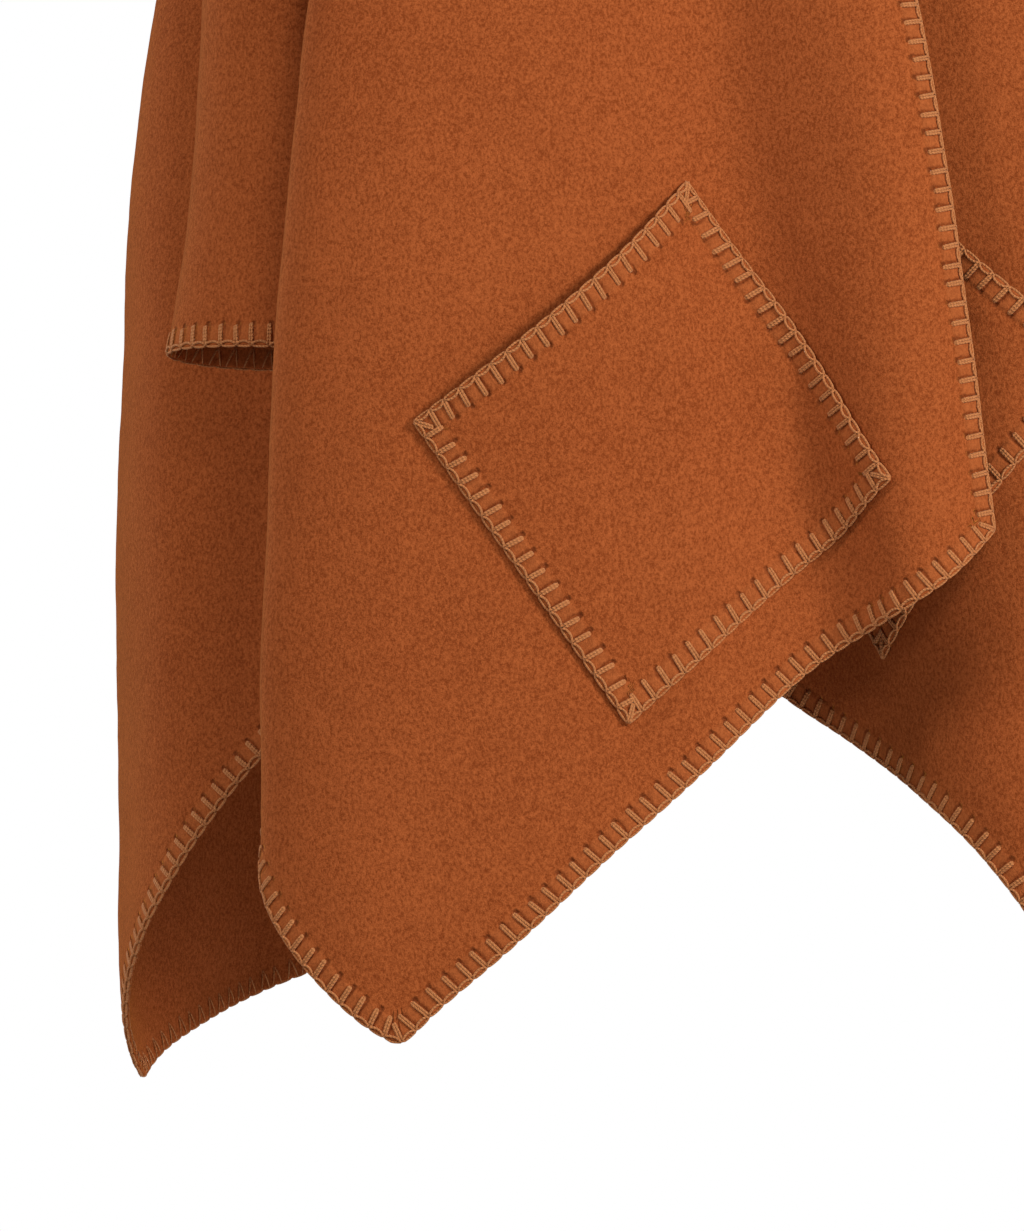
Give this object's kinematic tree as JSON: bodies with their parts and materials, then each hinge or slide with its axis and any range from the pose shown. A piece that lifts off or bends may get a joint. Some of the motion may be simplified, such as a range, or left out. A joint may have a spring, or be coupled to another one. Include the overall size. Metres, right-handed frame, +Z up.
{
  "type": "cloak",
  "caption": "Felted wool wrap cloak as worn, with sleeves, a pointed hem and square patch pockets set on point, its edges finished in blanket stitch.",
  "frame": {"origin": "top of the shoulders, midway across the neck opening", "axes": "+Z up, -Y the front, -X the wearer's right side"},
  "size_m": [0.6893, 0.4718, 0.9991],
  "materials": {
    "felted_wool": "brushed, matt"
  },
  "bodies": {
    "root": {"front_right": "felted_wool", "back": "felted_wool", "front_left": "felted_wool", "sleeve_right": "felted_wool", "sleeve_left": "felted_wool", "pocket_right": "felted_wool", "pocket_left": "felted_wool"}
  },
  "joints": []
}
